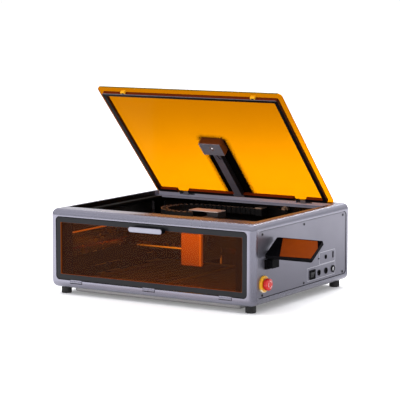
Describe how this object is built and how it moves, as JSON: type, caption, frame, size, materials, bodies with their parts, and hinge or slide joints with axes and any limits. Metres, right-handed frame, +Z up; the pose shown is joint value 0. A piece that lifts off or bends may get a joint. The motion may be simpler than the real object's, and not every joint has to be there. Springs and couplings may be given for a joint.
{
  "type": "desktop laser cutter",
  "caption": "Enclosed desktop laser cutter: amber hinged lid with a camera arm, drop-down front window, laser head on a belt-driven gantry, and a tilting display on its side.",
  "frame": {"origin": "centre of the base tray's underside; the feet reach 6 mm lower", "axes": "+X to the right seen from the front, +Y to the back, +Z up"},
  "size_m": [0.6905, 0.51, 0.4936],
  "materials": {
    "case_metal": "satin anodised, fine grain",
    "panel_metal": "satin anodised sheet",
    "black_aluminium": "matt black anodised",
    "bed_metal": "dark anodised slats",
    "tray_metal": "satin",
    "dark_metal": "matt black powder coat",
    "arm_metal": "satin graphite",
    "steel": "ground",
    "amber_acrylic": "clear, laser filtering",
    "amber_window": "clear, laser filtering",
    "black_plastic": "moulded, fine texture",
    "black_gloss": "gloss",
    "silver_plate": "satin",
    "rubber": "matt",
    "belt": "matt, toothed",
    "orange_shield": "clear orange, laser filtering",
    "screen": "gloss",
    "lens": "coated",
    "red_plastic": "gloss",
    "yellow_plastic": "gloss",
    "board": "solder mask",
    "chrome": "polished",
    "brass": "machined"
  },
  "bodies": {
    "chassis": {"shell": "case_metal", "side_panel_left": "panel_metal", "side_panel_right": "panel_metal", "rear_panel": "panel_metal", "case_screws": "dark_metal", "recess_frame": "dark_metal", "base_tray": "tray_metal", "feet": "rubber", "work_bed": "bed_metal", "case_pins": "steel", "lid_hinge_blocks": "case_metal", "y_rails": "steel", "y_belts": "belt", "y_motor": "dark_metal", "chain_rear_run": "black_plastic", "exhaust_housing": "dark_metal", "exhaust_collar": "black_plastic", "control_board": "board", "stop_collar": "yellow_plastic", "power_bezel": "black_plastic", "panel_ports": "black_plastic", "display_bracket": "black_plastic"},
    "door": {"door_frame": "black_gloss", "door_window": "amber_window", "door_handle": "black_plastic", "handle_plate": "silver_plate", "door_knuckles": "dark_metal"},
    "lid": {"lid_plate": "amber_acrylic", "lid_gasket": "black_plastic", "lid_hinge_barrels": "dark_metal", "camera_arm": "arm_metal", "camera_housing": "arm_metal", "camera_lens": "lens"},
    "gantry": {"gantry_beam": "black_aluminium", "gantry_cover": "black_aluminium", "gantry_carriages": "black_plastic", "x_rail": "steel", "x_belt": "belt", "x_motor": "dark_metal", "chain_turn": "black_plastic"},
    "head": {"head_shield": "orange_shield", "head_body": "black_aluminium", "head_fan_guard": "black_plastic", "head_nozzle": "brass", "head_carriage": "black_aluminium", "chain_front_run": "black_plastic"},
    "y_drive": {"drive_shaft": "steel"},
    "y_idler_pair": {"y_idlers": "steel"},
    "x_drive": {"x_drive_pulley": "steel"},
    "x_idler_wheel": {"x_idler": "steel"},
    "head_fan_rotor": {"head_fan": "black_plastic"},
    "exhaust_fan_rotor": {"exhaust_rotor": "black_plastic"},
    "display": {"display_housing": "black_plastic", "display_screen": "screen"},
    "display_clamp": {"display_knob": "rubber"},
    "stop_plunger": {"stop_stem": "black_plastic"},
    "stop_mushroom": {"stop_cap": "red_plastic"},
    "rocker": {"power_rocker": "black_gloss"},
    "key_barrel": {"key_lock_barrel": "chrome"},
    "button": {"start_button": "black_plastic"}
  },
  "joints": [
    {"name": "lid_hinge", "type": "hinge", "parent": "chassis", "child": "lid", "pos_m": [0, 0.2057, 0.202], "axis": [-1, 0, 0], "range_deg": [-45.7, 39.3]},
    {"name": "door_hinge", "type": "hinge", "parent": "chassis", "child": "door", "pos_m": [0, -0.2385, 0.0273], "axis": [1, 0, 0], "range_deg": [0, 90]},
    {"name": "gantry_slide", "type": "slide", "parent": "chassis", "child": "gantry", "axis": [0, 1, 0], "range_m": [-0.19, 0.042], "deforming": ["chain_turn"]},
    {"name": "head_slide", "type": "slide", "parent": "gantry", "child": "head", "axis": [1, 0, 0], "range_m": [-0.16, 0.2], "deforming": ["chain_front_run"]},
    {"name": "y_drive_spin", "type": "hinge", "parent": "chassis", "child": "y_drive", "pos_m": [0, 0.205, 0.125], "axis": [1, 0, 0], "range_deg": [-1710, 380]},
    {"name": "y_idler_spin", "type": "hinge", "parent": "chassis", "child": "y_idler_pair", "pos_m": [0, -0.2, 0.125], "axis": [1, 0, 0], "range_deg": [-1710, 380]},
    {"name": "x_drive_spin", "type": "hinge", "parent": "gantry", "child": "x_drive", "pos_m": [0.205, 0.0625, 0.118], "axis": [0, 1, 0], "range_deg": [-1800, 1440]},
    {"name": "x_idler_spin", "type": "hinge", "parent": "gantry", "child": "x_idler_wheel", "pos_m": [-0.205, 0.0625, 0.118], "axis": [0, 1, 0], "range_deg": [-1800, 1440]},
    {"name": "head_fan_spin", "type": "hinge", "parent": "head", "child": "head_fan_rotor", "pos_m": [0.0125, 0.012, 0.108], "axis": [1, 0, 0], "continuous": true},
    {"name": "exhaust_fan_spin", "type": "hinge", "parent": "chassis", "child": "exhaust_fan_rotor", "pos_m": [0, 0.212, 0.0645], "axis": [0, 1, 0], "continuous": true},
    {"name": "display_tilt", "type": "hinge", "parent": "chassis", "child": "display", "pos_m": [0.304, -0.1602, 0.12761], "axis": [1, 0, 0], "range_deg": [-20, 18]},
    {"name": "display_clamp_turn", "type": "hinge", "parent": "chassis", "child": "display_clamp", "pos_m": [0.312, -0.1602, 0.12761], "axis": [1, 0, 0], "range_deg": [-180, 180]},
    {"name": "stop_press", "type": "slide", "parent": "chassis", "child": "stop_plunger", "axis": [-1, 0, 0], "range_m": [0, 0.004]},
    {"name": "stop_twist", "type": "hinge", "parent": "stop_plunger", "child": "stop_mushroom", "pos_m": [0.294, -0.195, 0.0607], "axis": [-1, 0, 0], "range_deg": [0, 45], "stiffness_Nm_per_rad": 0.05},
    {"name": "power_switch", "type": "hinge", "parent": "chassis", "child": "rocker", "pos_m": [0.2802, 0.043, 0.049], "axis": [0, -1, 0], "range_deg": [0, 12]},
    {"name": "key_turn", "type": "hinge", "parent": "chassis", "child": "key_barrel", "pos_m": [0.276, 0.149, 0.049], "axis": [-1, 0, 0], "range_deg": [0, 90]},
    {"name": "button_press", "type": "slide", "parent": "chassis", "child": "button", "axis": [-1, 0, 0], "range_m": [0, 0.0012], "stiffness_N_per_m": 400}
  ],
  "couplings": [
    {"joint": "y_drive_spin", "follows": "gantry_slide", "rad_per_m": 156.25},
    {"joint": "y_idler_spin", "follows": "gantry_slide", "rad_per_m": 156.25},
    {"joint": "x_drive_spin", "follows": "head_slide", "rad_per_m": -156.25},
    {"joint": "x_idler_spin", "follows": "head_slide", "rad_per_m": -156.25}
  ]
}
